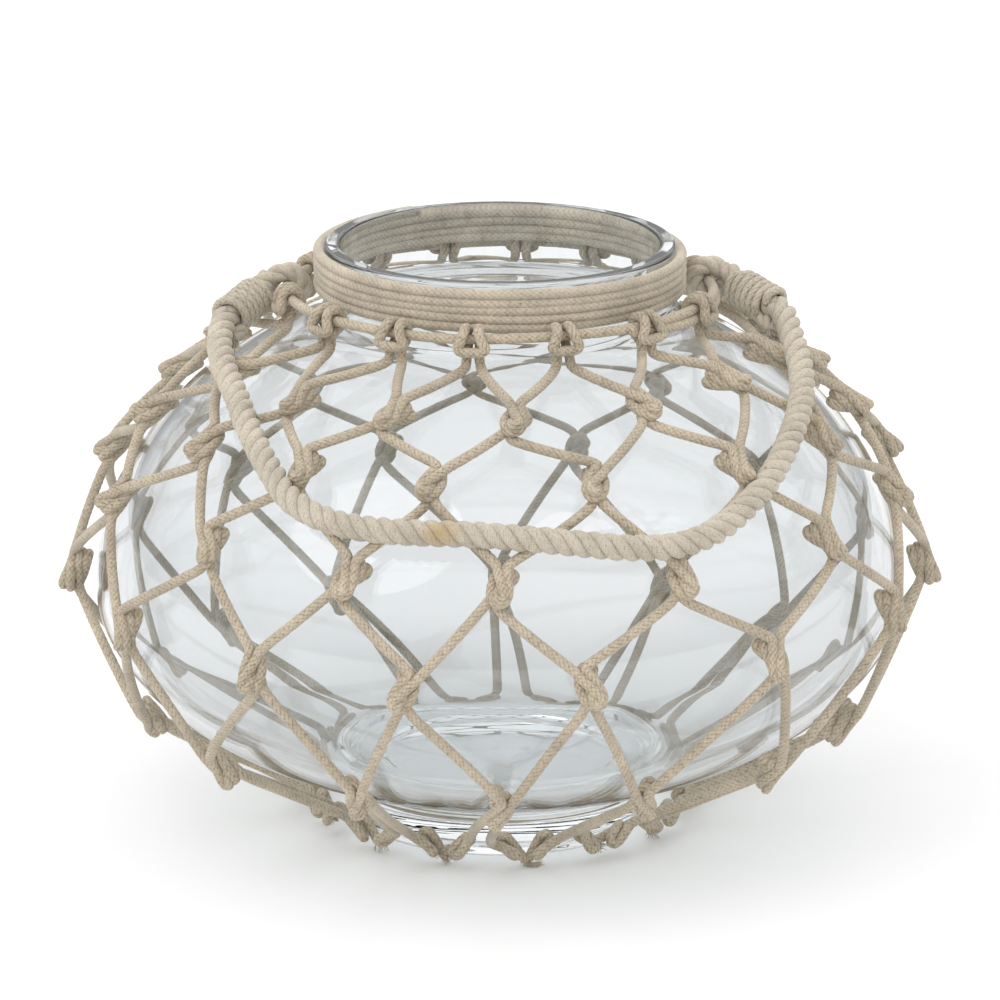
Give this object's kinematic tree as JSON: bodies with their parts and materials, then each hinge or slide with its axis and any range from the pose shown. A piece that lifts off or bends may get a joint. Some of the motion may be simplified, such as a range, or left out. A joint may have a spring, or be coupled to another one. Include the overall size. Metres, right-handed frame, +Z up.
{
  "type": "hanging lantern",
  "caption": "Round clear glass lantern vessel with a short open neck, in a hand-knotted cord net, with a three-strand rope handle that swings over the neck.",
  "frame": {"origin": "centre of the foot, on the surface that it stands on", "axes": "+Z up through the mouth, -Y to the front, where the handle rests; +X to the right"},
  "size_m": [0.3, 0.2944, 0.205],
  "materials": {
    "clear_glass": "clear, smooth, thick at the foot",
    "net_cord": "natural braided cotton cord",
    "wrap_cord": "natural braided cotton cord, wound tight",
    "handle_rope": "natural three-strand laid cotton rope"
  },
  "bodies": {
    "root": {"glass_vessel": "clear_glass", "neck_wrap": "wrap_cord", "ring_cord": "net_cord", "net_cord_01": "net_cord", "net_cord_02": "net_cord", "net_cord_03": "net_cord", "net_cord_04": "net_cord", "net_cord_05": "net_cord", "net_cord_06": "net_cord", "net_cord_07": "net_cord", "net_cord_08": "net_cord", "net_cord_09": "net_cord", "net_cord_10": "net_cord", "net_cord_11": "net_cord", "net_cord_12": "net_cord", "net_cord_13": "net_cord", "net_cord_14": "net_cord", "knots_row_0": "net_cord", "knots_row_1": "net_cord", "knots_row_2": "net_cord", "knots_row_3": "net_cord", "knots_row_4": "net_cord", "knots_row_5": "net_cord", "end_knots": "net_cord", "eye_left": "handle_rope", "eye_right": "handle_rope"},
    "handle": {"splice_left": "handle_rope", "splice_right": "handle_rope", "whipping_left": "wrap_cord", "whipping_right": "wrap_cord", "handle_rope": "handle_rope"}
  },
  "joints": [
    {"name": "handle_swing", "type": "hinge", "parent": "root", "child": "handle", "pos_m": [-0.00067, 0.00801, 0.1884], "axis": [-0.9977, -0.0678, 0], "range_deg": [0, 205]}
  ]
}
